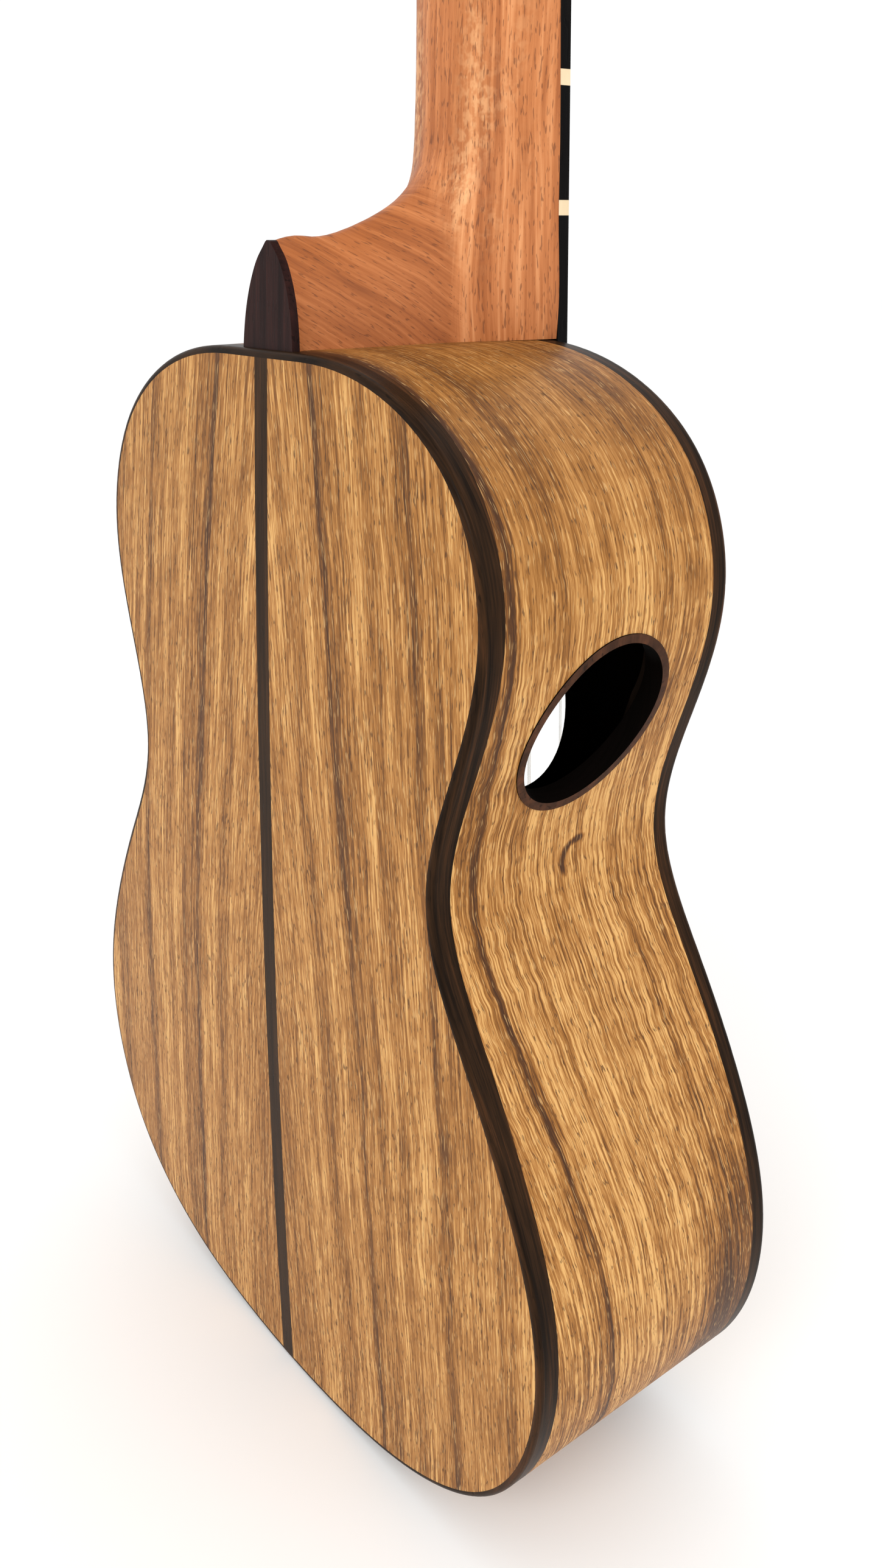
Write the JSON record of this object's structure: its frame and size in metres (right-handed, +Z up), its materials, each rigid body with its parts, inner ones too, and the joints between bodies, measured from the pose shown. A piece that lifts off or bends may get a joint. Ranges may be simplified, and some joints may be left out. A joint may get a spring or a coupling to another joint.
{
  "type": "ukulele",
  "caption": "Tenor ukulele with figure-eight body, side sound port, dark binding, pointed heel cap, bound fretboard and rear friction pegs.",
  "frame": {"origin": "centre of the bounding box in X and Y, at the lowest point of the tail", "axes": "+Z up the neck, -Y out of the soundboard, +Y out of the back, -X to the bass side with the sound port"},
  "size_m": [0.2204, 0.0909, 0.6848],
  "materials": {
    "back_wood": "bookmatched golden brown wood with dark streaks, satin",
    "rib_wood": "bent golden brown wood with dark streaks, satin",
    "rosewood": "near black rosewood, satin with a rounded bright edge",
    "port_rosewood": "mid brown rosewood, satin",
    "board_wood": "oiled dark rosewood",
    "top_wood": "fine straight grained cedar, satin",
    "neck_wood": "reddish orange mahogany, satin with open pores",
    "block_wood": "plain sanded mahogany",
    "brace_wood": "plain sanded spruce",
    "steel": "zinc plated steel",
    "brass": "plain brass",
    "fret_wire": "polished nickel silver",
    "pearl": "polished mother of pearl",
    "maple": "pale maple",
    "bone": "polished bone",
    "peg_metal": "polished nickel plate",
    "peg_button": "polished ebony",
    "string": "dark fluorocarbon"
  },
  "bodies": {
    "instrument": {"back_bass": "back_wood", "back_treble": "back_wood", "back_centre_strip": "rosewood", "back_binding_bass": "rosewood", "back_binding_treble": "rosewood", "top_binding_bass": "rosewood", "top_binding_treble": "rosewood", "rib_bass": "rib_wood", "rib_treble": "rib_wood", "end_graft": "rosewood", "neck_block": "block_wood", "tail_block": "block_wood", "top_linings": "block_wood", "back_linings": "block_wood", "back_braces": "brace_wood", "back_seam_strips": "brace_wood", "soundboard_bass": "top_wood", "soundboard_treble": "top_wood", "soundhole_ring": "rosewood", "bridge_patch": "block_wood", "top_braces": "brace_wood", "port_ring": "port_rosewood", "port_backing": "block_wood", "neck": "neck_wood", "head_plate": "rosewood", "heel_cap": "rosewood", "neck_bolt": "steel", "bolt_washer": "steel", "neck_insert": "brass", "fretboard": "board_wood", "fretboard_binding_bass": "board_wood", "fretboard_binding_treble": "board_wood", "frets": "fret_wire", "fret_dots": "pearl", "side_markers": "maple", "nut": "bone", "bridge": "board_wood", "saddle": "bone", "peg_bushings": "peg_metal", "peg_washers": "peg_metal", "string_1": "string", "string_2": "string", "string_3": "string", "string_4": "string"},
    "peg_1": {"peg_post_1": "peg_metal", "peg_button_1": "peg_button", "peg_screw_1": "peg_metal", "string_winding_1": "string"},
    "peg_2": {"peg_post_2": "peg_metal", "peg_button_2": "peg_button", "peg_screw_2": "peg_metal", "string_winding_2": "string"},
    "peg_3": {"peg_post_3": "peg_metal", "peg_button_3": "peg_button", "peg_screw_3": "peg_metal", "string_winding_3": "string"},
    "peg_4": {"peg_post_4": "peg_metal", "peg_button_4": "peg_button", "peg_screw_4": "peg_metal", "string_winding_4": "string"}
  },
  "joints": [
    {"name": "peg_1_turn", "type": "hinge", "parent": "instrument", "child": "peg_1", "pos_m": [-0.0176, -0.02053, 0.58468], "axis": [0, -0.9781, 0.2079], "continuous": true},
    {"name": "peg_2_turn", "type": "hinge", "parent": "instrument", "child": "peg_2", "pos_m": [-0.0152, -0.01013, 0.63358], "axis": [0, -0.9781, 0.2079], "continuous": true},
    {"name": "peg_3_turn", "type": "hinge", "parent": "instrument", "child": "peg_3", "pos_m": [0.0152, -0.01013, 0.63358], "axis": [0, -0.9781, 0.2079], "continuous": true},
    {"name": "peg_4_turn", "type": "hinge", "parent": "instrument", "child": "peg_4", "pos_m": [0.0176, -0.02053, 0.58468], "axis": [0, -0.9781, 0.2079], "continuous": true}
  ]
}
